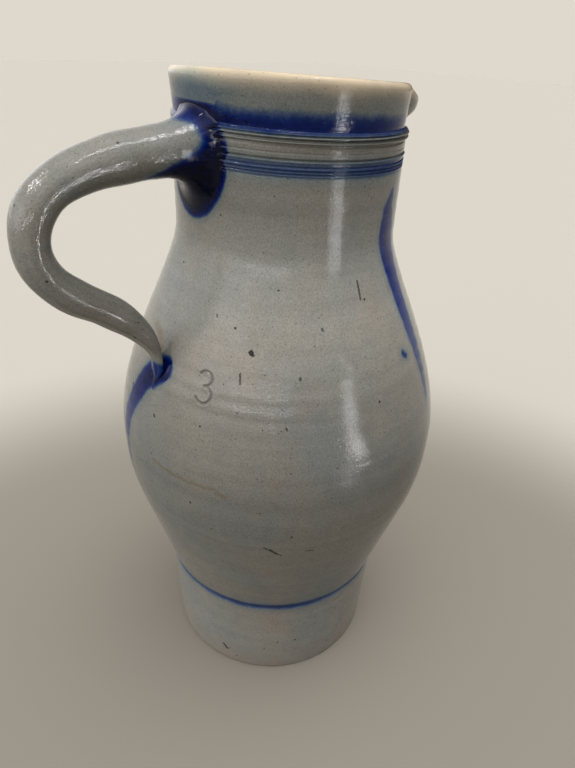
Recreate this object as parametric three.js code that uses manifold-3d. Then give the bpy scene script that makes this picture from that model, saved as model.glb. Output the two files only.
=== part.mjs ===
// Salt-glazed stoneware pouring jug: a thrown vessel, a pulled handle and the clay that lutes the handle on.
// Millimetres, +Z up. The origin is the centre of the underside, and the handle points along -X.
import * as THREE from 'three';
import { mergeVertices } from 'three/addons/utils/BufferGeometryUtils.js';
import Module from 'manifold-3d';

const wasm = await Module();
wasm.setup();

// Driving dimensions of the vessel: outside radii, and heights that stack from the table up
const footRadius = 58.4;
const footTopRadius = 60.7;
const footHeight = 56.2;
const footChamfer = 1.6;
const footLineWidth = 2.4;
const footLineDepth = 0.7;
const bellyRadius = 80.2;
const bellyRise = 89.8;
const bellyStartLean = 15;
const shoulderRise = 99.7;
const neckRadius = 48.3;
const neckLength = 28;
const cordonBandHeight = 14.1;
const cordonHeight = 1.3;
const cordonDepth = 1.2;
const grooveWidth = 1.1;
const grooveDepth = 0.7;
const collarRadius = 47.2;
const collarHeight = 15.2;
const lipRadius = 48.3;

// Pulls of the wall's two curves, as shares of the height that each one climbs
const footPull = 0.75;
const underBellyPull = 0.33;
const overBellyPull = 0.37;
const neckPull = 0.18;

// How far up the cordon band its second groove lies, as a share of the band
const secondGrooveShare = 0.4;

// Walls
const floorThickness = 8;
const footWall = 7.5;
const bellyWall = 6.5;
const neckWall = 5.6;
const lipThickness = 5;
const innerCornerRadius = 14;

// The beak pinched out of the collar, opposite the handle and a little to one side, as the hand left it.
// Its cheeks bulge by a share of their reach, and its keel swings out of the collar's foot by a power.
const spoutBearing = -16;
const spoutReach = 12;
const spoutHalfAngle = 25;
const spoutTipDroop = 7.2;
const spoutCheek = 0.5;
const spoutKeel = 5;

// The lean that the soft neck and the rim took, as slopes that fall towards a bearing
const neckLean = 1.55;
const neckLeanBearing = -41;
const rimLean = 3.5;
const rimLeanBearing = 22;
const leanStart = 200;

// Handle: its centreline in the XZ plane, measured from the neck and from the root's height
const rootBelowCordon = 9.1;
const handleReach = 63.5;
const bendDrop = 27;
const runDrop = 51;
const runInset = 17.4;
const runSlope = 33;
const tailDrop = 91;
const tailStandOff = 0.6;
const tailDrift = 1.5;
const rootThickness = 19;
const bowThickness = 13.4;
const tailThickness = 3.2;
const rootWidth = 21;
const bowWidth = 15;
const tailWidth = 8;

// Pulls of the centreline's curves, as shares of the stretch that each one covers
const rootPull = 0.55;
const overBendPull = 0.9;
const underBendPull = 0.5;
const runPull = 0.37;
const sweepPull = 0.84;
const tailPull = 0.12;

// Where the section changes, as shares of the way from the root to the tail
const bowFrom = 0.05;
const bowTo = 0.5;
const taperFrom = 0.78;
const taperTo = 1.05;
const driftFrom = 0.6;

// Luting: how far the clay flares out from the handle where it meets the pot, and how far it runs
const chinFlare = 15;
const browFlare = 4.5;
const cheekFlare = 8;
const upperLutingRun = 17;
const flareCurve = 2.2;
const dabLength = 24;
const dabWidth = 15;
const dabThickness = 3.4;
const jointGap = 0.3;
const featherEdge = 0.5;

// Facets
const turnSides = 72;
const curveSteps = 10;
const innerSteps = 7;
const cornerSteps = 4;
const lipSteps = 6;
const collarRings = 5;
const collarCrowding = 1.6;
const handleSides = 20;
const handleSteps = 36;
const lutingSteps = 12;
const dabSides = 24;
const dabRings = 5;
const weldDistance = 1e-4;
const flankSpan = 4;

// Stations up the pot
const bellyHeight = footHeight + bellyRise;
const neckStart = bellyHeight + shoulderRise;
const bandBottom = neckStart + neckLength;
const bandTop = bandBottom + cordonBandHeight;
const rimHeight = bandTop + collarHeight;
const turn = THREE.MathUtils.degToRad;
const smoothstep = THREE.MathUtils.smoothstep;
const point = (radius, height) => new THREE.Vector2(radius, height);

// Points along a cubic Bezier from a to d, leaving out a itself
function bezier(a, b, c, d, steps = curveSteps) {
  return new THREE.CubicBezierCurve(a, b, c, d).getPoints(steps).slice(1);
}

// Points round an arc between two bearings in degrees, leaving out the first
function arc(centre, radius, from, to, steps) {
  return Array.from({ length: steps }, (_, i) => {
    const angle = turn(THREE.MathUtils.lerp(from, to, (i + 1) / steps));
    return point(centre.x + radius * Math.cos(angle), centre.y + radius * Math.sin(angle));
  });
}

// The pot's wall from just above the foot out to the belly and in to the neck, at the given radii
function wallCurves(foot, belly, neck, steps) {
  const lean = turn(bellyStartLean);
  const pull = footPull * bellyRise;
  const underBelly = bezier(
    point(foot, footHeight),
    point(foot + pull * Math.sin(lean), footHeight + pull * Math.cos(lean)),
    point(belly, bellyHeight - underBellyPull * bellyRise),
    point(belly, bellyHeight),
    steps,
  );
  const shoulder = bezier(
    point(belly, bellyHeight),
    point(belly, bellyHeight + overBellyPull * shoulderRise),
    point(neck, neckStart - neckPull * shoulderRise),
    point(neck, neckStart),
    steps,
  );
  return [...underBelly, ...shoulder];
}

// The outside from the underside's edge to just below the lip, offset outwards by grow
function outerProfile(grow = 0) {
  const slope = (footTopRadius - footRadius) / footHeight;
  const lineBottom = footHeight - footLineWidth;
  const profile = [
    point(footRadius - footChamfer, 0),
    point(footRadius + slope * footChamfer, footChamfer),
    point(footRadius + slope * lineBottom, lineBottom),
    point(footTopRadius - footLineDepth, footHeight - footLineWidth / 2),
    point(footTopRadius, footHeight),
    ...wallCurves(footTopRadius, bellyRadius, neckRadius, curveSteps),
    ...cordonBand(),
    ...collarWall(collarRadius, lipRadius),
  ];
  return profile.map((p) => point(p.x + grow, p.y));
}

// One face of the collar, from the top of the band up to where the lip starts. Its rings crowd towards the
// collar's foot, where the beak's keel bends most.
function collarWall(lowRadius, highRadius) {
  return Array.from({ length: collarRings + 1 }, (_, i) => {
    const share = Math.pow(i / collarRings, collarCrowding);
    const top = rimHeight - lipThickness / 2;
    return point(
      THREE.MathUtils.lerp(lowRadius, highRadius, share),
      THREE.MathUtils.lerp(bandTop, top, share),
    );
  });
}

// Below the collar: a groove, a plain band, a groove, a second plain band and two cordons
function cordonBand() {
  const groove = (height) => [
    point(neckRadius, height - grooveWidth / 2),
    point(neckRadius - grooveDepth, height),
    point(neckRadius, height + grooveWidth / 2),
  ];
  const halfCrest = cordonHeight / 6;
  const cordon = (height) => [
    point(neckRadius, height - cordonHeight / 2),
    point(neckRadius + cordonDepth, height - halfCrest),
    point(neckRadius + cordonDepth, height + halfCrest),
  ];
  const upperCordon = bandTop - cordonHeight;
  return [
    ...groove(bandBottom + grooveWidth / 2),
    ...groove(bandBottom + secondGrooveShare * cordonBandHeight),
    ...cordon(upperCordon - cordonHeight),
    ...cordon(upperCordon),
  ];
}

// The inside from the lip down to the floor
function innerProfile() {
  const neck = neckRadius - neckWall;
  const belly = bellyRadius - bellyWall;
  const foot = footTopRadius - footWall;
  const corner = point(foot - innerCornerRadius, floorThickness + innerCornerRadius);
  return [
    ...collarWall(neck, lipRadius - lipThickness).reverse(),
    ...wallCurves(foot, belly, neck, innerSteps).reverse(),
    point(foot, footHeight),
    point(foot, corner.y),
    ...arc(corner, innerCornerRadius, 0, -90, cornerSteps),
  ];
}

// The rounded lip, over the top from just inside its outer edge to just short of its inner edge
function lipProfile() {
  const half = lipThickness / 2;
  return arc(point(lipRadius - half, rimHeight - half), half, 0, 180, lipSteps).slice(0, -1);
}

// Bearing of a point seen from the axis, as an angle from the beak's middle between -180 and 180 degrees
function angleFromSpout(x, y) {
  const degrees = THREE.MathUtils.radToDeg(Math.atan2(y, x)) - spoutBearing;
  return THREE.MathUtils.euclideanModulo(degrees + 180, 360) - 180;
}

// How the turned form was left: the neck and the rim lean, and the collar is pinched out to a beak
function settle(v) {
  const radius = Math.hypot(v.x, v.y);
  const up = THREE.MathUtils.clamp((v.z - bandTop) / collarHeight, 0, 1);
  const across = Math.min(Math.abs(angleFromSpout(v.x, v.y)) / spoutHalfAngle, 1);
  const ridge = (1 - across) * (1 + spoutCheek * across);
  const keel = 1 - Math.pow(1 - up, spoutKeel);
  const pinch = radius > 0 ? ridge * keel : 0;
  const along = (slope, bearing) =>
    Math.tan(turn(slope)) * (v.x * Math.cos(turn(bearing)) + v.y * Math.sin(turn(bearing)));
  const neck = along(neckLean, neckLeanBearing) * smoothstep(v.z, leanStart, bandTop);
  const fall = THREE.MathUtils.lerp(neck, along(rimLean, rimLeanBearing), up);
  const stretch = radius > 0 ? 1 + (spoutReach * pinch) / radius : 1;
  return v.set(v.x * stretch, v.y * stretch, v.z - fall - spoutTipDroop * pinch * up);
}

// A closed mesh with shared vertices and no collapsed triangles, from any three.js geometry
function sealed(geometry) {
  geometry.deleteAttribute('normal');
  geometry.deleteAttribute('uv');
  const merged = mergeVertices(geometry, weldDistance);
  const kept = [];
  const index = merged.index.array;
  for (let i = 0; i < index.length; i += 3) {
    const [a, b, c] = index.slice(i, i + 3);
    if (a !== b && b !== c && c !== a) kept.push(a, b, c);
  }
  merged.setIndex(kept);
  return merged;
}

function solidOf(geometry) {
  const closed = sealed(geometry);
  return new wasm.Manifold(new wasm.Mesh({
    numProp: 3,
    vertProperties: closed.attributes.position.array,
    triVerts: new Uint32Array(closed.index.array),
  }));
}

function geometryOf(solid) {
  const mesh = solid.getMesh();
  const geometry = new THREE.BufferGeometry();
  geometry.setAttribute('position', new THREE.BufferAttribute(mesh.vertProperties, mesh.numProp));
  geometry.setIndex(new THREE.BufferAttribute(mesh.triVerts, 1));
  return geometry;
}

// Turns a profile round the pot's axis, with a facet edge on the beak's middle, and settles it
function thrown(profile) {
  const geometry = new THREE.LatheGeometry(profile, turnSides, turn(90 + spoutBearing));
  geometry.rotateX(Math.PI / 2);
  const positions = geometry.attributes.position;
  const v = new THREE.Vector3();
  for (let i = 0; i < positions.count; i++) {
    settle(v.fromBufferAttribute(positions, i));
    positions.setXYZ(i, v.x, v.y, v.z);
  }
  return geometry;
}

function jugBody() {
  const profile = [
    point(0, 0),
    ...outerProfile(),
    ...lipProfile(),
    ...innerProfile(),
    point(0, floorThickness),
  ];
  return geometryOf(solidOf(thrown(profile)));
}

// The pot as one filled form, grown by the joint's gap, which trims whatever is luted on to it
function pottedCore() {
  return solidOf(thrown([
    point(0, 0),
    ...outerProfile(jointGap),
    point(lipRadius + jointGap, rimHeight),
    point(0, rimHeight),
  ]));
}

// Outside radius of the turned form at a height
function radiusAt(height) {
  const profile = outerProfile();
  const i = profile.findIndex((p) => p.y >= height);
  const [a, b] = [profile[i - 1], profile[i]];
  return THREE.MathUtils.mapLinear(height, a.y, b.y, a.x, b.x);
}

// Anchors of the handle, as distances out from the axis and heights
const rootHeight = bandTop - rootBelowCordon;
const tailHeight = rootHeight - tailDrop;
const root = point(neckRadius - neckWall, rootHeight);
const bend = point(neckRadius + handleReach, rootHeight - bendDrop);
const run = point(bend.x - runInset, rootHeight - runDrop);
const tail = point(radiusAt(tailHeight) + tailStandOff, tailHeight);

// Unit direction down the belly's flank at the tail
const below = tailHeight - flankSpan / 2;
const above = tailHeight + flankSpan / 2;
const flank = point(radiusAt(below) - radiusAt(above), -flankSpan).normalize();

// Centreline: out from the neck, round the bend, in along the underside and down the flank
const handlePath = new THREE.CurvePath();
const runDirection = point(-Math.cos(turn(runSlope)), -Math.sin(turn(runSlope)));
const beside = (p, direction, distance) => p.clone().addScaledVector(direction, distance);
handlePath.add(new THREE.CubicBezierCurve(
  root,
  beside(root, point(1, 0), rootPull * handleReach + neckWall),
  beside(bend, point(0, 1), overBendPull * bendDrop),
  bend,
));
handlePath.add(new THREE.CubicBezierCurve(
  bend,
  beside(bend, point(0, -1), underBendPull * (bend.y - run.y)),
  beside(run, runDirection, -runPull * runInset),
  run,
));
handlePath.add(new THREE.CubicBezierCurve(
  run,
  beside(run, runDirection, sweepPull * (run.y - tail.y)),
  beside(tail, flank, -tailPull * (run.y - tail.y)),
  tail,
));

// Half sizes of the handle's oval section, u from 0 at the root to 1 at the tail
function handleSection(u) {
  const swell = (a, b, c) => {
    const toBow = THREE.MathUtils.lerp(a, b, smoothstep(u, bowFrom, bowTo));
    return THREE.MathUtils.lerp(toBow, c, smoothstep(u, taperFrom, taperTo)) / 2;
  };
  return {
    thick: swell(rootThickness, bowThickness, tailThickness),
    wide: swell(rootWidth, bowWidth, tailWidth),
  };
}

// Skins oval rings along a stretch of the handle's centreline: flare(u, angle) adds to each radius
function ovalLoft(from, to, steps, flare) {
  const rings = Array.from({ length: steps + 1 }, (_, i) => {
    const u = THREE.MathUtils.lerp(from, to, i / steps);
    const centre = handlePath.getPointAt(u);
    const tangent = handlePath.getTangentAt(u);
    const { thick, wide } = handleSection(u);
    return Array.from({ length: handleSides }, (_, j) => {
      const angle = (2 * Math.PI * j) / handleSides;
      const grow = flare(u, angle);
      const outward = (thick + grow) * Math.cos(angle);
      const sideways = -(wide + grow) * Math.sin(angle) - tailDrift * smoothstep(u, driftFrom, 1);
      const reach = centre.x - outward * tangent.y;
      return new THREE.Vector3(-reach, sideways, centre.y + outward * tangent.x);
    });
  });
  return skinned(rings);
}

// Closed surface through rings of points, with a fan over the first and the last ring
function skinned(rings) {
  const count = rings[0].length;
  const middle = (ring) => ring.reduce((sum, p) => sum.add(p), new THREE.Vector3()).divideScalar(count);
  const points = [...rings.flat(), middle(rings[0]), middle(rings.at(-1))];
  const index = [];
  for (let i = 0; i < rings.length - 1; i++) {
    for (let j = 0; j < count; j++) {
      const k = (j + 1) % count;
      const [a, b, c, d] = [i * count + j, i * count + k, (i + 1) * count + k, (i + 1) * count + j];
      index.push(a, c, b, a, d, c);
    }
  }
  const last = (rings.length - 1) * count;
  for (let j = 0; j < count; j++) {
    const k = (j + 1) % count;
    index.push(points.length - 2, j, k);
    index.push(points.length - 1, last + k, last + j);
  }
  return new THREE.BufferGeometry().setFromPoints(points).setIndex(index);
}

const core = pottedCore();
const pathLength = handlePath.getLength();
const handleRod = solidOf(ovalLoft(0, 1, handleSteps, () => 0));
const handleHole = solidOf(ovalLoft(0, 1, handleSteps, () => jointGap));

// The flare at an angle round the handle: the brow above, the chin below and a cheek on each side
function flareAt(angle) {
  const up = Math.cos(angle);
  const vertical = up > 0 ? browFlare : chinFlare;
  return THREE.MathUtils.lerp(cheekFlare, vertical, up * up);
}

function upperLuting() {
  const start = neckWall / pathLength;
  const end = (neckWall + upperLutingRun) / pathLength;
  const trumpet = ovalLoft(0, end, lutingSteps, (u, angle) => {
    const left = THREE.MathUtils.clamp((end - u) / (end - start), 0, 1);
    return jointGap + featherEdge + flareAt(angle) * Math.pow(left, flareCurve);
  });
  return geometryOf(solidOf(trumpet).subtract(handleHole).subtract(core));
}

// A leaf of clay thumbed over the flank round the handle's tail, domed across and tapered at both ends.
// The tail's slot goes on in to the pot, so no web of clay is left under the handle.
function lowerLuting() {
  const rings = Array.from({ length: dabRings + 1 }, (_, i) => {
    const rise = (Math.PI / 2) * (i / dabRings);
    return Array.from({ length: dabSides }, (_, j) => {
      const angle = (2 * Math.PI * j) / dabSides;
      const along = Math.cos(angle) * Math.cos(rise) * dabLength / 2;
      const sideways = Math.sin(angle) * Math.cos(rise) * dabWidth / 2 + tailDrift;
      const height = tailHeight - along * flank.y;
      const lift = i === 0 ? -dabThickness : dabThickness * Math.sin(rise) + featherEdge;
      const bearing = Math.PI + sideways / radiusAt(height);
      const radius = radiusAt(height) + lift;
      return new THREE.Vector3(radius * Math.cos(bearing), radius * Math.sin(bearing), height);
    });
  });
  const slot = wasm.Manifold.union([0, 1, 2].map((n) => handleHole.translate([n * tailThickness, 0, 0])));
  return geometryOf(solidOf(skinned(rings)).subtract(slot).subtract(core));
}

const glaze = new THREE.MeshStandardMaterial({ color: 0x85867f, roughness: 0.35, metalness: 0 });
const cobalt = new THREE.MeshStandardMaterial({ color: 0x141c4d, roughness: 0.25, metalness: 0 });

const jug = new THREE.Group();
function add(name, geometry, material) {
  const mesh = new THREE.Mesh(geometry, material);
  mesh.name = name;
  jug.add(mesh);
}
add('jug_body', jugBody(), glaze);
add('handle', geometryOf(handleRod.subtract(core)), glaze);
add('upper_luting', upperLuting(), cobalt);
add('lower_luting', lowerLuting(), cobalt);

export default jug;
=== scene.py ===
import bpy
import numpy as np
from mathutils import Matrix, Vector


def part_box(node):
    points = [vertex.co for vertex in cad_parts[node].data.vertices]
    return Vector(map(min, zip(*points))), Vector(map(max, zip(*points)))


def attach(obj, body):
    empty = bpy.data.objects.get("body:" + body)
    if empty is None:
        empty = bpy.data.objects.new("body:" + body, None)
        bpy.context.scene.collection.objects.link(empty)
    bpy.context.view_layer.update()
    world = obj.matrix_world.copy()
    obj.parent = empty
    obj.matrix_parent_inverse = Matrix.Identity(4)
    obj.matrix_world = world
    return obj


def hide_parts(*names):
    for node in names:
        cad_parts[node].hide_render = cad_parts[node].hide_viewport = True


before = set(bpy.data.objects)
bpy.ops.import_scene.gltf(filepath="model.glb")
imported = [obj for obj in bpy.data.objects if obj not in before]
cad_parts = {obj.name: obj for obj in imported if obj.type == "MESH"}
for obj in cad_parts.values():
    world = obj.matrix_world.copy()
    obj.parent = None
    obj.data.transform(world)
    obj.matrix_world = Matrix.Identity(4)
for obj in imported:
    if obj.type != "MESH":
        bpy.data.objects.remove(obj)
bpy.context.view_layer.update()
MM = 0.001
LOW, HIGH = (np.array(corner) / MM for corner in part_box("jug_body"))

# Vessel: outside radii, and heights that stack from the floor up
FOOT_RADIUS = 58.4
FOOT_TOP_RADIUS = 60.7
FOOT_HEIGHT = 56.2
FOOT_EDGE = 1.6
BELLY_RADIUS = (HIGH[0] - LOW[0]) / 2
BELLY_HEIGHT = 146.0
BELLY_START_LEAN = 15
NECK_RADIUS = 48.3
NECK_START = 245.7
BAND_TOP = 287.8
COLLAR_RADIUS = 47.2
COLLAR_HEIGHT = 15.2
RIM_HEIGHT = BAND_TOP + COLLAR_HEIGHT
LIP_RADIUS = 48.3
LIP_THICKNESS = 5.0
FLOOR_THICKNESS = 8.0
FOOT_WALL = 7.5
BELLY_WALL = 6.5
NECK_WALL = 5.6
INNER_CORNER = 14.0

# Pulls of the wall's curves, as shares of the height that each climbs
FOOT_PULL = 0.75
UNDER_BELLY_PULL = 0.33
OVER_BELLY_PULL = 0.37
NECK_PULL = 0.18

# Turned relief: height, half width and how far it stands out (or, below zero, sinks in)
RELIEF = [
    (55.4, 0.9, -0.7),
    (58.6, 1.6, 0.15),
    (273.0, 0.3, -0.12),
    (273.6, 0.25, 0.15),
    (274.1, 0.25, -0.5),
    (274.65, 0.2, 0.2),
    (275.15, 0.26, -0.55),
    (275.9, 0.4, 0.2),
    (276.5, 0.28, -0.45),
    (278.25, 0.25, 0.35),
    (278.9, 0.32, -0.8),
    (281.1, 0.25, -0.2),
    (283.7, 0.6, -0.25),
    (284.6, 0.3, 1.0),
    (285.3, 0.2, 0.25),
    (285.75, 0.22, -0.7),
    (286.25, 0.28, 1.15),
    (286.75, 0.2, -0.4),
    (287.2, 0.22, 0.5),
    (287.9, 0.5, -0.25),
]

# The beak, and the lean of the soft neck and rim as slopes that fall towards a bearing
SPOUT_BEARING = -16
SPOUT_REACH = 12
SPOUT_HALF_ANGLE = 25
SPOUT_DROOP = 7.2
SPOUT_CHEEK = 0.5
SPOUT_KEEL = 5
NECK_LEAN = 1.55
NECK_LEAN_BEARING = -41
RIM_LEAN = 3.5
RIM_LEAN_BEARING = 22
LEAN_START = 200

# Handle: its centreline in the XZ plane and its oval section
ROOT_HEIGHT = BAND_TOP - 9.1
HANDLE_REACH = 63.5
BEND_DROP = 27
RUN_DROP = 51
RUN_INSET = 17.4
RUN_SLOPE = 33
TAIL_DROP = 91
TAIL_STAND_OFF = 0.6
TAIL_DRIFT = 1.6
ROOT_SECTION = (19.0, 21.0)
BOW_SECTION = (13.4, 15.0)
TAIL_SECTION = (3.0, 7.6)

# Pulls of the handle's three curves, as shares of the reach, inset or drop that each one covers
ROOT_PULL = 0.55
OVER_BEND_PULL = 0.9
UNDER_BEND_PULL = 0.5
RUN_PULL = 0.37
SWEEP_PULL = 0.84
TAIL_PULL = 0.12

# Where the handle's section changes and where it drifts sideways, as shares of the way from the root to
# the tail. The taper ends at one share for the thickness and at another for the width.
BOW_FROM = 0.05
BOW_TO = 0.5
TAPER_FROM = 0.74
TAPER_TO = (1.0, 1.05)
DRIFT_FROM = 0.6

# Flutes left by the fingers: a pair on the outer side, at an angle in radians from its middle, and one
# along the inner side, with their half widths in radians and depths in mm. The flutes and the swellings
# fade in between two shares of the length.
FLUTE_ANGLE = 0.55
FLUTE_HALF = 0.22
FLUTE_DEPTH = 0.28
INNER_FLUTE_HALF = 0.4
INNER_FLUTE_DEPTH = 0.16
FLUTE_FADE = (0.04, 0.2)

# Slow swellings along the handle: size in mm, radians over the whole length, and start
SWELLINGS = [(0.14, 31, 0.6), (0.10, 57, 2)]

# The tail's rounded end: the share of the length that it takes, and the square of its least size there
TIP_SHARE = 0.03
TIP_LEAST = 0.02

# Luting clay: how far it flares on the neck and along the handle, the pulls of its curve as shares of
# those, and how far each luting sinks into the wall where it ends
CHIN_FLARE = 15
BROW_FLARE = 4.5
CHEEK_FLARE = 8
FLARE_RUN = 17
LANDING_PULL = 0.75
RING_PULL = 0.62
FEATHER = 0.15

# The leaf over the tail: its size, how far its middle lies above the tail's end, how wide the bell across
# it is on the side left sharp and on the side wiped out, the dent that the thumb left (its depth, and its
# middle and half size across and along), and its crest as (height above the tail's end, height off the
# wall)
SMEAR_LENGTH = 32
SMEAR_WIDTH = 17
SMEAR_RISE = 6
SMEAR_SHARP = 2.8
SMEAR_WIPED = 5.2
THUMB_DEPTH = 0.15
THUMB_MIDDLE = (2.2, -6)
THUMB_HALF = (1.3, 4)
SMEAR_CREST = [
    (-10, 0), (-7, 0.1), (-4, 0.3), (-1, 0.6), (2, 0.9),
    (5, 1.2), (8, 1.2), (11, 0.8), (14, 0.3), (22, 0),
]

# Turned lines wiped flat beside the handle: bearing of the middle, half the width in degrees, and the
# heights between which the wiping sets in
WIPED_BEARING = 158
WIPED_HALF = 24
WIPED_FROM = (270, 274)

# Throwing ridges: their pitch up the wall and half their height
RIDGE_PITCH = 6.5
RIDGE_HEIGHT = 0.06

# Incised capacity numeral, a plain 3 of two round bows, whose radii are shares of its height. The burr is
# clay pushed up on both sides of the stroke.
MARK_BEARING = -157.0
MARK_HEIGHT = 192.5
MARK_TALL = 13.5
MARK_STROKE = 0.55
MARK_DEPTH = 0.55
MARK_BURR = 0.12
MARK_BURR_HALF = 0.45
UPPER_BOW = 0.225
LOWER_BOW = 0.275


def smoothstep(low, high, x):
    """S-curve from 0 at low to 1 at high: with t the share of the way, three t squared less two t cubed."""
    t = np.clip((x - low) / (high - low), 0, 1)
    return t * t * (3 - 2 * t)


def bezier(a, b, c, d, t):
    """Cubic Bezier from a to d pulled by b and c, at each t: the points weighted by Bernstein's cubics."""
    a, b, c, d = (np.asarray(p, float) for p in (a, b, c, d))
    t = np.asarray(t, float)[..., None]
    return (1 - t) ** 3 * a + 3 * (1 - t) ** 2 * t * b + 3 * (1 - t) * t**2 * c + t**3 * d


def wall_curve(foot, belly, neck):
    """The pot's wall from the foot's top to the neck's start: two cubics that meet upright at the belly."""
    t = np.linspace(0, 1, 160)
    lean = np.radians(BELLY_START_LEAN)
    climb = BELLY_HEIGHT - FOOT_HEIGHT
    rise = NECK_START - BELLY_HEIGHT
    pull = FOOT_PULL * climb
    under = bezier(
        (foot, FOOT_HEIGHT),
        (foot + pull * np.sin(lean), FOOT_HEIGHT + pull * np.cos(lean)),
        (belly, BELLY_HEIGHT - UNDER_BELLY_PULL * climb),
        (belly, BELLY_HEIGHT),
        t,
    )
    over = bezier(
        (belly, BELLY_HEIGHT),
        (belly, BELLY_HEIGHT + OVER_BELLY_PULL * rise),
        (neck, NECK_START - NECK_PULL * rise),
        (neck, NECK_START),
        t,
    )
    return np.concatenate([under, over[1:]])


OUTER_WALL = wall_curve(FOOT_TOP_RADIUS, BELLY_RADIUS, NECK_RADIUS)
INNER_WALL = wall_curve(FOOT_TOP_RADIUS - FOOT_WALL, BELLY_RADIUS - BELLY_WALL, NECK_RADIUS - NECK_WALL)


def collar_radius(height, low, high):
    """A face of the collar: straight from one radius at the band to the other where the lip starts."""
    top = RIM_HEIGHT - LIP_THICKNESS / 2
    return low + (high - low) * np.clip((height - BAND_TOP) / (top - BAND_TOP), 0, 1)


def outside_radius(height):
    """Radius of the turned outside at each height: foot, wall curve, neck and collar, with the relief."""
    height = np.asarray(height, float)
    foot = FOOT_RADIUS + (FOOT_TOP_RADIUS - FOOT_RADIUS) * height / FOOT_HEIGHT
    wall = np.interp(height, OUTER_WALL[:, 1], OUTER_WALL[:, 0])
    radius = np.where(height < FOOT_HEIGHT, foot, wall)
    to_collar = smoothstep(BAND_TOP - 0.6, BAND_TOP + 0.6, height)
    radius += to_collar * (collar_radius(height, COLLAR_RADIUS, LIP_RADIUS) - NECK_RADIUS)
    return radius + relief(height)


def relief(height):
    """How far the turned lines stand out of the wall: the sum of a bell curve for each."""
    return sum(out * np.exp(-(((height - centre) / half) ** 2)) for centre, half, out in RELIEF)


def throwing_ridge(bearing, height):
    """Ridges that fingers leave in a spiral, strongest on the shoulder and the neck: two sine waves."""
    climb = height + RIDGE_PITCH * bearing / 360
    strength = smoothstep(60, 90, height) * smoothstep(272, 262, height)
    turns = 2 * np.pi * climb
    wave = np.sin(turns / RIDGE_PITCH) + 0.6 * np.sin(turns / (2.9 * RIDGE_PITCH) + 1)
    return RIDGE_HEIGHT * strength * wave


def bearing_from(middle, bearing):
    """Bearing measured from a middle one, between -180 and 180 degrees."""
    return np.mod(bearing - middle + 180, 360) - 180


def settle(points):
    """Leans the neck and the rim along their slopes, and draws the collar out to the beak."""
    x, y, z = points[..., 0], points[..., 1], points[..., 2]
    radius = np.maximum(np.hypot(x, y), 1e-6)
    up = np.clip((z - BAND_TOP) / COLLAR_HEIGHT, 0, 1)
    aside = np.abs(bearing_from(SPOUT_BEARING, np.degrees(np.arctan2(y, x))))
    across = np.minimum(aside / SPOUT_HALF_ANGLE, 1)
    ridge = (1 - across) * (1 + SPOUT_CHEEK * across)
    pinch = ridge * (1 - (1 - up) ** SPOUT_KEEL)

    def fall(slope, bearing):
        bearing = np.radians(bearing)
        return np.tan(np.radians(slope)) * (x * np.cos(bearing) + y * np.sin(bearing))

    neck = fall(NECK_LEAN, NECK_LEAN_BEARING) * smoothstep(LEAN_START, BAND_TOP, z)
    drop = neck + (fall(RIM_LEAN, RIM_LEAN_BEARING) - neck) * up
    stretch = 1 + SPOUT_REACH * pinch / radius
    return np.stack([x * stretch, y * stretch, z - drop - SPOUT_DROOP * pinch * up], axis=-1)


def on_pot(bearing, height, out=0.0):
    """Points of the settled pot at bearings and heights, standing out of it by some millimetres."""
    angle = np.radians(bearing)
    radius = outside_radius(height) + out
    return settle(np.stack([radius * np.cos(angle), radius * np.sin(angle), height + 0 * radius], axis=-1))


def segment_distance(u, v, path):
    """Distance from each (u, v) to a path of points, and the share of the path at the nearest point."""
    start, step = path[:-1], np.diff(path, axis=0)
    best = np.full(np.shape(u), np.inf)
    where = np.zeros(np.shape(u))
    for i, (a, d) in enumerate(zip(start, step)):
        t = np.clip(((u - a[0]) * d[0] + (v - a[1]) * d[1]) / (d @ d), 0, 1)
        gap = np.hypot(u - a[0] - t * d[0], v - a[1] - t * d[1])
        where = np.where(gap < best, (i + t) / len(step), where)
        best = np.minimum(best, gap)
    return best, where


# Brushwork in cobalt. Each stroke is a list of (bearing, height, half width in mm, thickness of the slip
# from a thin wash at 0 to a pool at 1), with how much darker its edges dried.
LEAF_STROKE = [
    (-70, 266, 1.2, 0.61),
    (-72.5, 259, 4.4, 0.59),
    (-71, 250, 7.0, 0.60),
    (-68, 242, 7.2, 0.62),
    (-67, 234, 6.6, 0.60),
    (-66.5, 226, 5.8, 0.57),
    (-65.5, 216, 5.4, 0.55),
    (-64.6, 206, 5.0, 0.46),
    (-63.6, 196, 4.4, 0.42),
    (-63, 186, 3.5, 0.38),
    (-63.2, 176, 2.2, 0.41),
    (-64, 168, 0.6, 0.37),
]
COMMA_STROKE = [
    (-175.6, 193, 4.4, 0.70),
    (-180.5, 190.5, 5.4, 0.72),
    (-186, 183, 5.4, 0.68),
    (-190.3, 173, 5.0, 0.60),
    (-194.0, 161, 4.8, 0.56),
    (-195, 148, 3.9, 0.54),
    (-194.6, 134, 2.6, 0.46),
    (-194.2, 124, 0.8, 0.38),
]
DOT_STROKE = [(-76.2, 199.5, 1.7, 0.5), (-74.6, 198.0, 1.5, 0.5)]


def mirrored(stroke):
    """The same stroke on the other side of the beak."""
    return [(2 * SPOUT_BEARING - bearing, height, half, slip) for bearing, height, half, slip in stroke]


STROKES = [
    (LEAF_STROKE, 0.12),
    (mirrored(LEAF_STROKE), 0.12),
    (DOT_STROKE, 0.15),
    (mirrored(DOT_STROKE), 0.15),
    (COMMA_STROKE, 0.08),
]

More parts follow.
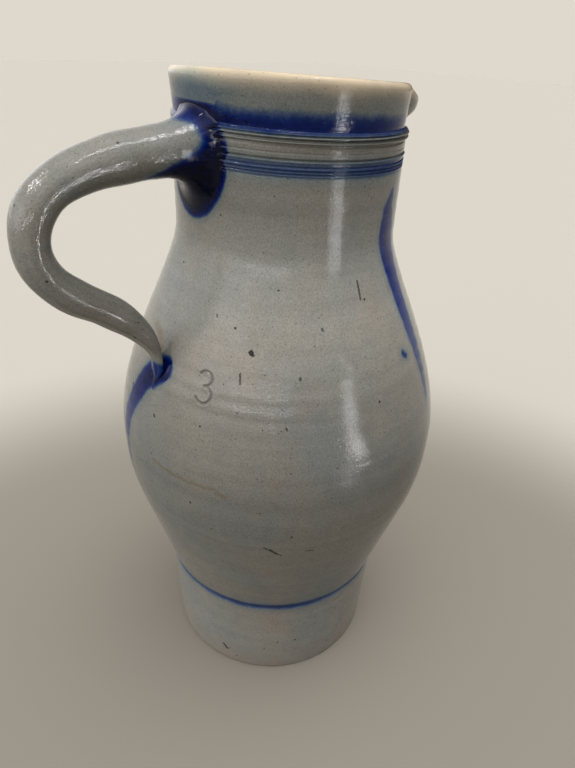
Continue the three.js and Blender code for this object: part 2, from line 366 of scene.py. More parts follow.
# Cobalt round the neck: the blob at the handle's root, the collar with a bell over the handle and a thin
# wash above it, the band under the cordons, and the line above the foot
BLOB_HEIGHT = 278.0
BLOB_HALF_WIDTH = 19.2
BLOB_DROP = 25.5
BLOB_RISE = 17.5
BLOB_SLIP = 0.8
COLLAR_PAINT_TOP = 292.0
COLLAR_PAINT_FOOT = 286.9
COLLAR_BELL_RISE = 4.6
COLLAR_BELL_HALF = 13
COLLAR_SLIP = 0.66
WASH_FOOT = 290
WASH_TOP = 302
WASH_NARROWS = 0.12
WASH_SLIP = 0.14
LOWER_BAND_FOOT = 272.4
LOWER_BAND_TOP = 278.6
LOWER_BAND_SLIP = 0.33
FOOT_LINE_HEIGHT = 57.1
FOOT_LINE_REACH = 2.9
FOOT_LINE_SLIP = 0.48

# The bare tongue on the handle's root: how round its tip is, and its edges, each a line in the XZ plane
# given by the direction into the cobalt and a point on it
TONGUE_ROUND = 1.6
TONGUE_EDGES = [
    (0.447, -0.894, -50, 281.2),
    (0.19, 0.98, -50, 288.2),
    (1, 0, -50.4, 0),
]

# Cobalt on the handle's tail: the heights and the shares of the length between which it sets in, how much
# its depth grows there, how far outside it starts, and its slip
TAIL_PAINT_HEIGHTS = (201, 192.5)
TAIL_PAINT_SHARES = (0.8, 0.9)
TAIL_PAINT_GAIN = 6
TAIL_PAINT_START = 3.2
TAIL_PAINT_SLIP = 0.55


def pot_paint(bearing, height):
    """Depth inside the cobalt in mm and thickness of the slip, at bearings and heights on the outside."""
    turned = np.mod(bearing, 360)
    around = bearing_from(180, bearing)
    radius = outside_radius(height)
    waver = 0.5 * np.sin(np.radians(bearing) * 3 + 1) + 0.25 * np.sin(np.radians(bearing) * 11)
    bell = COLLAR_BELL_RISE * np.exp(-((around / COLLAR_BELL_HALF) ** 2))
    top = COLLAR_PAINT_TOP + bell + 0.6 * waver
    beside_beak = smoothstep(22, 44, np.abs(bearing_from(SPOUT_BEARING, bearing)))
    collar = np.minimum(height - COLLAR_PAINT_FOOT, 0.6 * (top - height) + 0.5) - 3 * (1 - beside_beak)
    brow_side = np.exp(-(((turned - 192) / 15) ** 2))
    lower_band = np.minimum(height - LOWER_BAND_FOOT, LOWER_BAND_TOP - height + 0.2 * waver)
    foot_line = FOOT_LINE_REACH - np.abs(height - FOOT_LINE_HEIGHT - 0.3 * waver)
    wash = np.minimum(height - WASH_FOOT, WASH_TOP - height) - WASH_NARROWS * np.abs(around) ** 1.2
    layers = [
        (collar, COLLAR_SLIP + 0.16 * brow_side - 0.10 * smoothstep(180, 172, turned)),
        (lower_band, LOWER_BAND_SLIP + 0.14 * smoothstep(-110, -70, bearing)),
        (foot_line, FOOT_LINE_SLIP + 0.08 * waver),
        (wash, WASH_SLIP),
    ]
    across = np.radians(around) * radius
    reach = np.where(height > BLOB_HEIGHT, BLOB_RISE, BLOB_DROP)
    oval = np.hypot(across / BLOB_HALF_WIDTH, (height - BLOB_HEIGHT) / reach)
    layers.append((1.5 * (1 - oval) * BLOB_HALF_WIDTH, np.full(np.shape(height), BLOB_SLIP)))
    for stroke, dried in STROKES:
        path = np.array(stroke)
        turn = np.radians(bearing_from(path[0, 0], bearing)) * radius
        along = np.radians(path[:, 0] - path[0, 0]) * outside_radius(path[:, 1])
        gap, where = segment_distance(turn, height, np.stack([along, path[:, 1]], axis=-1))
        half, slip = (np.interp(where, np.linspace(0, 1, len(path)), path[:, k]) for k in (2, 3))
        inside = half - gap
        edge = np.exp(-(((inside - 0.9) / 0.9) ** 2))
        layers.append((inside, slip + dried * edge))
    depth = np.full(np.shape(height), -20.0)
    thickness = np.zeros(np.shape(height))
    for inside, slip in layers:
        thickness = np.where(inside > depth, slip, thickness)
        depth = np.maximum(depth, inside)
    return depth, thickness


def root_paint(points):
    """Depth inside the cobalt on the handle's root: below, above and behind the tongue of bare glaze that
    the handle's upper side carries up to the neck. The three sides are joined by a smooth maximum, so the
    tip is round."""
    x, z = points[..., 0], points[..., 2]
    sides = np.stack([out * (x - near_x) + up * (z - near_z) for out, up, near_x, near_z in TONGUE_EDGES])
    depth = TONGUE_ROUND * np.log(np.exp(np.clip(sides / TONGUE_ROUND, -30, 30)).sum(axis=0))
    thickness = 0.8 - 0.11 * smoothstep(285, 290, z)
    return depth, thickness


def added(name, data):
    """A new object of the given data, in the scene."""
    made = bpy.data.objects.new(name, data)
    bpy.context.scene.collection.objects.link(made)
    return made


def closed_mesh(name, rings, values, material):
    """A closed skin through rings of points (ring, place, xyz): quads from ring to ring and a fan over
    each end. values holds a number for each point under each attribute's name. Faces are turned to point
    outwards."""
    count, sides, _ = rings.shape
    ends = np.stack([rings[0].mean(axis=0), rings[-1].mean(axis=0)])
    points = np.concatenate([rings.reshape(-1, 3), ends]) * MM
    row = np.arange(count - 1)[:, None] * sides
    here = np.arange(sides)[None, :]
    beside = (here + 1) % sides
    four = [row + here, row + beside, row + sides + beside, row + sides + here]
    quads = np.stack(four, axis=-1).reshape(-1, 4)
    last = (count - 1) * sides
    first_fan = np.stack([np.full(sides, count * sides), beside[0], here[0]], axis=-1)
    last_fan = np.stack([np.full(sides, count * sides + 1), last + here[0], last + beside[0]], axis=-1)
    halves = np.concatenate([quads[:, [0, 1, 2]], quads[:, [0, 2, 3]], first_fan, last_fan])
    a, b, c = (points[halves[:, k]] for k in range(3))
    if np.einsum("ij,ij->", a, np.cross(b, c)) < 0:
        quads, first_fan, last_fan = quads[:, ::-1], first_fan[:, ::-1], last_fan[:, ::-1]
    corners = np.concatenate([quads.ravel(), first_fan.ravel(), last_fan.ravel()])
    sizes = np.concatenate([np.full(len(quads), 4), np.full(2 * sides, 3)])
    mesh = bpy.data.meshes.new(name)
    mesh.vertices.add(len(points))
    mesh.vertices.foreach_set("co", points.ravel())
    mesh.loops.add(len(corners))
    mesh.loops.foreach_set("vertex_index", corners.astype(np.int32))
    mesh.polygons.add(len(sizes))
    mesh.polygons.foreach_set("loop_start", np.concatenate([[0], np.cumsum(sizes)[:-1]]).astype(np.int32))
    mesh.update(calc_edges=True)
    mesh.validate()
    mesh.shade_smooth()
    for key, numbers in values.items():
        numbers = np.broadcast_to(numbers, rings.shape[:2])
        layer = mesh.attributes.new(key, "FLOAT", "POINT")
        layer.data.foreach_set("value", np.append(numbers.ravel(), [numbers[0].mean(), numbers[-1].mean()]))
    mesh.materials.append(material)
    return added(name, mesh)


def outside_values(depth, thickness, height, tone):
    """Attribute values of a piece that is glazed all round: nothing of it is inside, bare or pressed."""
    return {
        "cobalt": depth,
        "slip": thickness,
        "height": height,
        "inside": 0,
        "bare": 0,
        "pressed": 0,
        "tone": tone,
    }


def numeral_path():
    """The plain numeral 3: an upper and a lower bow, each an arc of a circle, open to the left."""
    upper, lower = UPPER_BOW * MARK_TALL, LOWER_BOW * MARK_TALL
    top = np.radians(np.linspace(150, -90, 22))
    bottom = np.radians(np.linspace(90, -150, 26))
    high = np.stack([upper * np.cos(top), MARK_TALL / 2 - upper + upper * np.sin(top)], axis=-1)
    low = np.stack([lower * np.cos(bottom), -MARK_TALL / 2 + lower + lower * np.sin(bottom)], axis=-1)
    return np.concatenate([high, low[1:]])


def stepped(*stretches):
    """Stations along a line: for each (from, to, spacing), evenly spread and leaving out the last."""
    counts = [max(int(round(abs(b - a) / spacing)), 1) for a, b, spacing in stretches]
    parts = [np.linspace(a, b, count, endpoint=False) for (a, b, _), count in zip(stretches, counts)]
    return np.concatenate(parts)


def pot_profile():
    """The turned form as one line: across the underside, up the outside, over the lip, down the inside
    and across the floor. Gives radius, height, and 1 where the point is inside."""
    edge = np.radians(np.linspace(-90, 0, 6))
    under = np.array([6, 14, 22, 30, 38, 46, 53, FOOT_RADIUS - FOOT_EDGE - 1])
    outside = stepped(
        (FOOT_EDGE + 0.8, 52, 2.6),
        (52, 60, 0.5),
        (60, MARK_HEIGHT - 9, 2.0),
        (MARK_HEIGHT - 9, MARK_HEIGHT + 9, 0.36),
        (MARK_HEIGHT + 9, 272.5, 2.1),
        (272.5, 288.5, 0.21),
        (288.5, RIM_HEIGHT - LIP_THICKNESS / 2, 1.0),
    )
    half = LIP_THICKNESS / 2
    lip = np.radians(np.linspace(0, 180, 15))
    neck = NECK_RADIUS - NECK_WALL
    inside = stepped((RIM_HEIGHT - half - 1, BAND_TOP, 1.6), (BAND_TOP, FOOT_HEIGHT, 6), (FOOT_HEIGHT, 24, 8))
    wall = np.interp(inside, INNER_WALL[:, 1], INNER_WALL[:, 0])
    wall += (inside > BAND_TOP) * (collar_radius(inside, neck, LIP_RADIUS - LIP_THICKNESS) - neck)
    corner = np.radians(np.linspace(0, -90, 7))
    centre = FOOT_TOP_RADIUS - FOOT_WALL - INNER_CORNER
    floor = np.array([30, 21, 12, 5])
    radius = np.concatenate([
        under,
        FOOT_RADIUS - FOOT_EDGE + FOOT_EDGE * np.cos(edge),
        outside_radius(outside),
        LIP_RADIUS - half + half * np.cos(lip),
        wall,
        centre + INNER_CORNER * np.cos(corner),
        floor,
    ])
    height = np.concatenate([
        0 * under,
        FOOT_EDGE + FOOT_EDGE * np.sin(edge),
        outside,
        RIM_HEIGHT - half + half * np.sin(lip),
        inside,
        FLOOR_THICKNESS + INNER_CORNER + INNER_CORNER * np.sin(corner),
        FLOOR_THICKNESS + 0 * floor,
    ])
    inner = len(under) + len(edge) + len(outside) + len(lip) // 2
    return radius, height, (np.arange(len(radius)) > inner).astype(float)


def pot_bearings():
    """Bearings of the columns, close together across the numeral, with one column on the beak's middle."""
    window = 6.0
    fine = stepped((MARK_BEARING - window, MARK_BEARING + window, 0.26))
    right = stepped((MARK_BEARING + window, SPOUT_BEARING, 1.62))
    left = stepped((SPOUT_BEARING, MARK_BEARING - window + 360, 1.62))
    return np.concatenate([fine, right, left])


def vessel(material):
    """The thrown pot: its profile carried round the axis, the numeral pressed in, leaned and pinched."""
    radius, height, inner = pot_profile()
    bearing = pot_bearings()
    b, r = np.meshgrid(bearing, radius)
    _, h = np.meshgrid(bearing, height)
    inside = np.broadcast_to(inner[:, None], h.shape)
    around = np.radians(bearing_from(MARK_BEARING, b)) * r
    near = (np.abs(around) < MARK_TALL) & (np.abs(h - MARK_HEIGHT) < MARK_TALL) & (inside < 0.5)
    slope = (outside_radius(MARK_HEIGHT + 1) - outside_radius(MARK_HEIGHT - 1)) / 2
    gap = np.full(h.shape, 9.0)
    up_the_wall = (h[near] - MARK_HEIGHT) * np.hypot(1, slope)
    gap[near], _ = segment_distance(around[near], up_the_wall, numeral_path())
    pressed = MARK_DEPTH * (1 - smoothstep(0.3 * MARK_STROKE, 1.5 * MARK_STROKE, gap))
    burr = MARK_BURR * np.exp(-(((gap - 2.0 * MARK_STROKE) / MARK_BURR_HALF) ** 2))
    from_wiped = bearing_from(WIPED_BEARING, b) / WIPED_HALF
    wiped = np.exp(-(from_wiped**4)) * smoothstep(*WIPED_FROM, h)
    r = r - pressed + burr + (throwing_ridge(b, h) - wiped * relief(h)) * (inside < 0.5)
    angle = np.radians(b)
    rings = settle(np.stack([r * np.cos(angle), r * np.sin(angle), h], axis=-1))
    depth, thickness = pot_paint(b, h)
    depth = np.where((inside > 0.5) | (h < FOOT_EDGE), -20, depth)
    values = {
        "height": h,
        "cobalt": depth,
        "slip": thickness,
        "inside": inside,
        "bare": (h < 0.02).astype(float),
        "pressed": pressed / MARK_DEPTH,
        # Tone by height holds the glaze's own tone together with painted light and shade.
        "tone": np.interp(h, TONE_HEIGHTS, TONES_WITH_PAINTED_LIGHT),
    }
    return closed_mesh("thrown_vessel", rings, values, material)


def handle_line(samples):
    """Handle centreline in the XZ plane at even steps of length: out from the neck, round the bend, in
    along the underside and down the belly's flank. Three cubics, each leaving along the line the last one
    arrived on."""
    root = np.array([NECK_RADIUS - NECK_WALL, ROOT_HEIGHT])
    bend = np.array([NECK_RADIUS + HANDLE_REACH, ROOT_HEIGHT - BEND_DROP])
    run = np.array([bend[0] - RUN_INSET, ROOT_HEIGHT - RUN_DROP])
    tail_height = ROOT_HEIGHT - TAIL_DROP
    tail = np.array([outside_radius(tail_height) + TAIL_STAND_OFF, tail_height])
    flank = np.array([outside_radius(tail_height - 2) - outside_radius(tail_height + 2), -4.0])
    flank /= np.hypot(*flank)
    sweep = -np.array([np.cos(np.radians(RUN_SLOPE)), np.sin(np.radians(RUN_SLOPE))])
    out, up, drop = np.array([1.0, 0]), np.array([0, 1.0]), run[1] - tail[1]
    t = np.linspace(0, 1, 200)
    from_root = root + (ROOT_PULL * HANDLE_REACH + NECK_WALL) * out
    over_bend = bend + OVER_BEND_PULL * BEND_DROP * up
    under_bend = bend - UNDER_BEND_PULL * (bend[1] - run[1]) * up
    before_run = run - RUN_PULL * RUN_INSET * sweep
    after_run = run + SWEEP_PULL * drop * sweep
    above_tail = tail - TAIL_PULL * drop * flank
    line = np.concatenate([
        bezier(root, from_root, over_bend, bend, t),
        bezier(bend, under_bend, before_run, run, t)[1:],
        bezier(run, after_run, above_tail, tail, t)[1:],
    ])
    length = np.concatenate([[0], np.cumsum(np.hypot(*np.diff(line, axis=0).T))])
    share = length / length[-1]

    def at(shares):
        return np.stack([np.interp(np.clip(shares, 0, 1), share, line[:, k]) for k in (0, 1)], axis=-1)

    step = 0.004
    along = at(samples + step) - at(samples - step)
    return at(samples), along / np.hypot(along[:, 0], along[:, 1])[:, None], length[-1]


def handle_section(u, axis):
    """Half the section's thickness (axis 0) or width (axis 1): S-curves from root to bow to tail."""
    to_bow = ROOT_SECTION[axis] + (BOW_SECTION[axis] - ROOT_SECTION[axis]) * smoothstep(BOW_FROM, BOW_TO, u)
    return (to_bow + (TAIL_SECTION[axis] - to_bow) * smoothstep(TAPER_FROM, TAPER_TO[axis], u)) / 2


def handle_rings(u, theta, grow=0.0):
    """Oval rings round the centreline at shares u, theta from the outer side, with half sizes + grow."""
    centre, along, _ = handle_line(u)
    thick = handle_section(u, 0)[:, None] + grow
    wide = handle_section(u, 1)[:, None] + grow
    outward = thick * np.cos(theta)
    sideways = -wide * np.sin(theta) - (TAIL_DRIFT * smoothstep(DRIFT_FROM, 1, u))[:, None]
    x = centre[:, :1] - outward * along[:, 1:]
    z = centre[:, 1:] + outward * along[:, :1]
    return np.stack([-x, sideways + 0 * x, z], axis=-1)


def pulled_handle(material):
    """The pulled handle: oval rings with shallow flutes left by the fingers, rounded at the tail's end."""
    u = np.linspace(0, 1, 170)
    theta = np.linspace(0, 2 * np.pi, 56, endpoint=False)
    side = np.minimum(np.abs(theta - FLUTE_ANGLE), np.abs(theta - 2 * np.pi + FLUTE_ANGLE))
    inner_side = (theta - np.pi) / INNER_FLUTE_HALF
    flute = -FLUTE_DEPTH * np.exp(-((side / FLUTE_HALF) ** 2)) - INNER_FLUTE_DEPTH * np.exp(-(inner_side**2))
    sway = sum(size * np.sin(u * turns + start) for size, turns, start in SWELLINGS)
    fade = smoothstep(*FLUTE_FADE, u)[:, None]
    rings = handle_rings(u, theta[None, :], fade * (flute[None, :] + sway[:, None]))
    middle = rings.mean(axis=1, keepdims=True)
    tip = np.sqrt(np.clip((1 - u) / TIP_SHARE, TIP_LEAST, 1))[:, None, None]
    rings = middle + (rings - middle) * tip
    depth, thickness = root_paint(rings)
    near_tail = smoothstep(*TAIL_PAINT_HEIGHTS, rings[..., 2]) * smoothstep(*TAIL_PAINT_SHARES, u)[:, None]
    lower_half = u[:, None] > 0.5
    depth = np.where(lower_half, TAIL_PAINT_GAIN * near_tail - TAIL_PAINT_START, depth)
    thickness = np.where(lower_half, TAIL_PAINT_SLIP, thickness)
    drift = 2 * np.sin(3 * u[:, None])
    streaks = sum(share * np.sin(turns * theta + start + drift) for turns, share, start in PULL_STREAKS)
    # Painted shade: the handle's inner side is made darker by a share.
    inner_painted_shade = 1 - HANDLE_INNER_PAINTED_SHADE * smoothstep(0.3, -0.9, np.cos(theta))
    values = outside_values(depth, thickness, 200, HANDLE_TONE * (1 + streaks) * inner_painted_shade)
    return closed_mesh("pulled_handle", rings, values, material)


def flare_at(theta):
    """How far the clay spreads beyond the handle: brow above, chin below, a cheek on each side."""
    up = np.cos(theta)
    return CHEEK_FLARE + (np.where(up > 0, BROW_FLARE, CHIN_FLARE) - CHEEK_FLARE) * up**2


def root_flare(material):
    """Luting clay round the root: from each point of a ring on the handle a cubic runs back along the
    handle and turns outwards to land on the neck at a tangent, on an egg-shaped line."""
    theta = np.linspace(0, 2 * np.pi, 96, endpoint=False)
    _, _, length = handle_line(np.array([0.0]))
    end = np.array([(NECK_WALL + FLARE_RUN) / length])
    ring = handle_rings(end, theta[None, :], -FEATHER)[0]
    _, along, _ = handle_line(end)
    outward = np.array([-along[0, 0], 0.0, along[0, 1]])
    flare = flare_at(theta)
    up = (ROOT_SECTION[0] / 2 + flare) * np.cos(theta)
    side = -(ROOT_SECTION[1] / 2 + flare) * np.sin(theta)
    height = ROOT_HEIGHT + up
    radius = outside_radius(height)
    bearing = 180 - np.degrees(side / radius)
    landing = on_pot(bearing, height, -FEATHER)
    inwards = on_pot(180 - np.degrees(0.6 * side / radius), ROOT_HEIGHT + 0.6 * up, 0.0) - landing
    inwards /= np.linalg.norm(inwards, axis=-1, keepdims=True)
    t = np.linspace(0, 1, 40)[:, None]
    rings = bezier(
        landing[None],
        (landing + inwards * (LANDING_PULL * flare)[:, None])[None],
        (ring - outward * RING_PULL * FLARE_RUN)[None],
        ring[None],
        t,
    )
    buried = ring.mean(axis=0) + (ring - ring.mean(axis=0)) * 0.7
    sunk = landing + (landing.mean(axis=0) - landing) * 0.1 + [4, 0, 0]
    rings = np.concatenate([sunk[None], rings, buried[None]])
    depth, thickness = root_paint(rings)
    values = outside_values(depth, thickness, 280, HANDLE_TONE)
    return closed_mesh("root_flare", rings, values, material)


def tail_crest(along):
    """Height of the leaf above the wall along its middle, from its lower tip up into the handle."""
    stations = np.array(SMEAR_CREST)
    return np.interp(along, stations[:, 0], stations[:, 1])


def tail_leaf(material):
    """Leaf of clay thumbed over the handle's tail. A grid over an oval on the flank is lifted by the
    crest's height times a bell across it, wider on the side that the thumb wiped, and sinks into the wall
    at its edge."""
    theta = np.linspace(0, 2 * np.pi, 96, endpoint=False)[None, :]
    rho = np.concatenate([[1.0, 1.0], np.linspace(0.985, 0.02, 40)])[:, None]
    along = rho * np.cos(theta) * SMEAR_LENGTH / 2
    across = rho * np.sin(theta) * SMEAR_WIDTH / 2
    height = ROOT_HEIGHT - TAIL_DROP + SMEAR_RISE + along
    side = np.where(across > 0, SMEAR_WIPED, SMEAR_SHARP) * (1 - 0.25 * smoothstep(-4, 8, along))
    bell = np.exp(-np.abs(across / side) ** 2.6)
    beside = (across - THUMB_MIDDLE[0]) / THUMB_HALF[0]
    above = (along - THUMB_MIDDLE[1]) / THUMB_HALF[1]
    thumb = THUMB_DEPTH * np.exp(-(beside**2 + above**2))
    lift = (tail_crest(along + SMEAR_RISE) * bell - thumb) * (1 - rho**8) - FEATHER
    lift[0] = -3
    bearing = 180 + np.degrees((across + TAIL_DRIFT) / outside_radius(height))
    rings = on_pot(bearing, height, lift)
    depth, thickness = pot_paint(bearing - 360, height)
    values = outside_values(depth + 1.2, thickness, height, HANDLE_TONE)
    return closed_mesh("tail_leaf", rings, values, material)


def node(tree, kind, inputs=None, **settings):
    """Adds a node with its settings, and gives each named or numbered input a value or a link."""
    made = tree.nodes.new(kind)
    for key, value in settings.items():
        setattr(made, key, value)
    for key, value in (inputs or {}).items():
        if isinstance(value, bpy.types.NodeSocket):
            tree.links.new(value, made.inputs[key])
        else:
            made.inputs[key].default_value = value
    return made


def maths(tree, operation, a, b=0.0, c=0.0):
    """One step of arithmetic on values."""
    return node(tree, "ShaderNodeMath", {0: a, 1: b, 2: c}, operation=operation).outputs[0]


def ramped(tree, value, low, high, to_low=0.0, to_high=1.0):
    """An S-curve from to_low where value is low to to_high where it is high."""
    inputs = {"Value": value, "From Min": low, "From Max": high, "To Min": to_low, "To Max": to_high}
    return node(tree, "ShaderNodeMapRange", inputs, interpolation_type="SMOOTHSTEP").outputs[0]


def mixed(tree, factor, a, b, blend_type="MIX"):
    """Colour a passed into colour b."""
    made = node(tree, "ShaderNodeMix", {0: factor, 6: a, 7: b}, data_type="RGBA", blend_type=blend_type)
    return made.outputs[2]


def noise(tree, place, scale, detail=2.0, roughness=0.5):
    """Noise between 0 and 1 with a number of features to the metre."""
    inputs = {"Vector": place, "Scale": scale, "Detail": detail, "Roughness": roughness}
    return node(tree, "ShaderNodeTexNoise", inputs).outputs["Fac"]


def stretched(tree, place, scale):
    """The place with each axis scaled, for a pattern drawn out along an axis."""
    return node(tree, "ShaderNodeMapping", {"Vector": place, "Scale": scale}).outputs[0]


def group(name, inputs, outputs):
    """A new node group with named sockets. Gives the tree, its inputs and the sockets of its output."""
    tree = bpy.data.node_groups.new(name, "ShaderNodeTree")
    for label, kind, value in inputs:
        socket = tree.interface.new_socket(label, in_out="INPUT", socket_type=kind)
        if value is not None:
            socket.default_value = value
    for label, kind in outputs:
        tree.interface.new_socket(label, in_out="OUTPUT", socket_type=kind)
    return tree, node(tree, "NodeGroupInput").outputs, node(tree, "NodeGroupOutput").inputs


def placed(tree, shared, inputs):
    """A shared group placed in a material with its own values. Gives its outputs."""
    return node(tree, "ShaderNodeGroup", inputs, node_tree=shared).outputs


COLOUR, VALUE, PLACE = "NodeSocketColor", "NodeSocketFloat", "NodeSocketVector"


def fleck_group():
    """Iron flecks: a small round spot at some of the cells' centres of a 3-D Voronoi pattern."""
    tree, given, out = group(
        "iron flecks",
        [("Place", PLACE, None), ("Cells", VALUE, 120.0), ("Size", VALUE, 0.05), ("Share", VALUE, 0.5)],
        [("Mask", VALUE)],
    )
    cells = node(tree, "ShaderNodeTexVoronoi", {"Vector": given["Place"], "Scale": given["Cells"]})
    pick = node(tree, "ShaderNodeSeparateColor", {0: cells.outputs["Color"]}).outputs
    size = maths(tree, "MULTIPLY", given["Size"], maths(tree, "MULTIPLY_ADD", pick[1], 0.9, 0.45))
    near = maths(tree, "DIVIDE", cells.outputs["Distance"], size)
    spot = ramped(tree, near, 0.75, 1.25, 1.0, 0.0)
    chosen = maths(tree, "LESS_THAN", pick[0], given["Share"])
    tree.links.new(maths(tree, "MULTIPLY", spot, chosen), out["Mask"])
    return tree


def tick_group():
    """A short mark: 1 within a width of the straight line between two points, frayed by noise."""
    tree, given, out = group(
        "surface tick",
        [("Place", PLACE, None), ("From", PLACE, None), ("To", PLACE, None), ("Width", VALUE, 0.0005)],
        [("Mask", VALUE)],
    )

    def vector(operation, a, b, output=0):
        return node(tree, "ShaderNodeVectorMath", {0: a, 1: b}, operation=operation).outputs[output]

    reach = vector("SUBTRACT", given["To"], given["From"])
    offset = vector("SUBTRACT", given["Place"], given["From"])
    along = vector("DOT_PRODUCT", offset, reach, 1)
    along = maths(tree, "DIVIDE", along, vector("DOT_PRODUCT", reach, reach, 1))
    along = maths(tree, "MAXIMUM", maths(tree, "MINIMUM", along, 1.0), 0.0)
    nearest = node(tree, "ShaderNodeVectorMath", {0: reach, "Scale": along}, operation="SCALE").outputs[0]
    apart = vector("SUBTRACT", offset, nearest)
    gap = node(tree, "ShaderNodeVectorMath", {0: apart}, operation="LENGTH").outputs[1]
    fray = maths(tree, "MULTIPLY_ADD", noise(tree, given["Place"], 1500.0), 1.4, 0.3)
    near = maths(tree, "DIVIDE", maths(tree, "MULTIPLY", gap, fray), given["Width"])
    tree.links.new(ramped(tree, near, 0.6, 1.2, 1.0, 0.0), out["Mask"])
    return tree


def body_group(flecks):
    """Salt glaze over grey clay: slow drifts from blue-grey to warm grey, bands left by throwing, fine
    grain, iron flecks and a toasted lip, with the orange-peel relief that salt leaves."""
    tree, given, out = group(
        "salt glaze",
        [("Place", PLACE, None), ("Height", VALUE, 200.0), ("Inside", VALUE, 0.0), ("Tone", VALUE, 1.0)],
        [("Color", COLOUR), ("Roughness", VALUE), ("Relief", VALUE)],
    )
    place = given["Place"]
    height = given["Height"]
    drift = noise(tree, place, 17.0, 3.0, 0.55)
    tone = mixed(tree, ramped(tree, drift, 0.35, 0.65), GREY_COOL, GREY_WARM)
    patch = ramped(tree, noise(tree, stretched(tree, place, (1, 1, 0.6)), 32.0, 3.0, 0.6), 0.52, 0.72)
    tone = mixed(tree, maths(tree, "MULTIPLY", patch, 0.35), tone, GREY_BROWN)
    bands = noise(tree, stretched(tree, place, (7, 7, 260)), 1.0, 2.0, 0.6)
    cloud = noise(tree, place, 140.0, 2.0, 0.6)
    grain = noise(tree, place, 1500.0, 2.0, 0.7)
    light = ramped(tree, bands, 0.2, 0.8, 0.95, 1.05)
    light = maths(tree, "ADD", light, ramped(tree, cloud, 0.2, 0.8, -0.05, 0.05))
    light = maths(tree, "ADD", light, ramped(tree, grain, 0.34, 0.66, -0.15, 0.12))
    # Tone brings in the height tones with their painted light and shade, and the handle's painted shade.
    light = maths(tree, "MULTIPLY", light, given["Tone"])
    tone = node(tree, "ShaderNodeVectorMath", {0: tone, "Scale": light}, operation="SCALE").outputs[0]
    wander = maths(tree, "MULTIPLY_ADD", noise(tree, place, 60.0, 2.0, 0.5), 4.0, -2.0)
    toast = ramped(tree, maths(tree, "ADD", height, wander), 296.8, 304.4)
    ragged = maths(tree, "ADD", height, maths(tree, "MULTIPLY", wander, 6.0))
    warm_foot = ramped(tree, ragged, 26.0, -6.0, 0.0, 0.55)
    tone = mixed(tree, warm_foot, tone, GREY_BROWN)
    tone = mixed(tree, toast, tone, TOASTED)
    tone = mixed(tree, maths(tree, "MULTIPLY", given["Inside"], 0.6), tone, GREY_BROWN)
    speck = placed(tree, flecks, {"Place": place, "Cells": 170.0, "Size": 0.075, "Share": 0.6})["Mask"]
    pits = placed(tree, flecks, {"Place": place, "Cells": 520.0, "Size": 0.14, "Share": 0.75})["Mask"]
    tone = mixed(tree, maths(tree, "MULTIPLY", pits, 0.35), tone, IRON)
    tone = mixed(tree, maths(tree, "MULTIPLY", speck, 0.92), tone, IRON)
    tree.links.new(tone, out["Color"])
    sheen = ramped(tree, noise(tree, place, 60.0, 3.0, 0.6), 0.3, 0.7, 0.04, 0.075)
    tree.links.new(sheen, out["Roughness"])
    peel = maths(tree, "ADD", noise(tree, place, 1250.0, 1.0, 0.5), maths(tree, "MULTIPLY", grain, 0.3))
    rings = maths(tree, "MULTIPLY", noise(tree, stretched(tree, place, (9, 9, 420)), 1.0, 2.0, 0.5), 0.9)
    relief = maths(tree, "ADD", peel, rings)
    relief = maths(tree, "SUBTRACT", relief, maths(tree, "MULTIPLY", pits, 0.8))
    tree.links.new(relief, out["Relief"])
    return tree


def cobalt_group():
    """Cobalt under the salt glaze: the body's colour is absorbed more and more as the slip thickens, from
    a violet wash over clear blue to near black, with an edge that noise frays and a faint blue halo
    beyond it."""
    tree, given, out = group(
        "cobalt slip",
        [("Body", COLOUR, None), ("Place", PLACE, None), ("Depth", VALUE, 0.0), ("Slip", VALUE, 0.5)],
        [("Color", COLOUR), ("Cover", VALUE)],
    )
    place = given["Place"]
    fray = maths(tree, "MULTIPLY_ADD", noise(tree, place, 600.0, 2.0, 0.6), 0.7, -0.35)
    bleed = maths(tree, "MULTIPLY_ADD", noise(tree, place, 120.0, 2.0, 0.5), 1.2, -0.6)
    depth = maths(tree, "ADD", given["Depth"], maths(tree, "ADD", fray, bleed))
    cover = ramped(tree, depth, -1.4, 2.0)
    halo = ramped(tree, depth, -4.5, 1.0, 0.0, 0.10)
    mottle = maths(tree, "MULTIPLY_ADD", noise(tree, place, 260.0, 3.0, 0.65), 0.44, 0.78)
    pooled = maths(tree, "MULTIPLY", ramped(tree, depth, 0.5, 6.0, 0.0, 0.24), given["Slip"])
    slip = maths(tree, "MULTIPLY", maths(tree, "ADD", given["Slip"], pooled), mottle)
    amount = maths(tree, "MAXIMUM", maths(tree, "MULTIPLY", cover, slip), halo)
    ramp = node(tree, "ShaderNodeValToRGB", {0: amount})
    stops = ramp.color_ramp.elements
    stops[0].position, stops[0].color = 0.0, (1, 1, 1, 1)
    stops[1].position, stops[1].color = 1.0, COBALT_POOL
    for position, colour in COBALT_STOPS:
        stops.new(position).color = (*colour, 1)
    tinted = mixed(tree, 1.0, given["Body"], ramp.outputs[0], "MULTIPLY")
    tree.links.new(tinted, out["Color"])
    tree.links.new(cover, out["Cover"])
    return tree


# Colours of the fired surface, as shares of the light sent back
GREY_COOL = (0.158, 0.161, 0.150, 1)
GREY_WARM = (0.184, 0.172, 0.148, 1)
GREY_BROWN = (0.202, 0.162, 0.126, 1)
TOASTED = (0.52, 0.42, 0.29, 1)
IRON = (0.016, 0.012, 0.010, 1)
BARE_CLAY = (0.30, 0.275, 0.235, 1)
COBALT_STOPS = [
    (0.12, (0.64, 0.79, 0.91)),
    (0.25, (0.32, 0.47, 0.83)),
    (0.38, (0.155, 0.28, 0.76)),
    (0.52, (0.030, 0.110, 0.62)),
    (0.66, (0.0030, 0.052, 0.58)),
    (0.82, (0.003, 0.018, 0.26)),
]
COBALT_POOL = (0.010, 0.012, 0.06, 1)

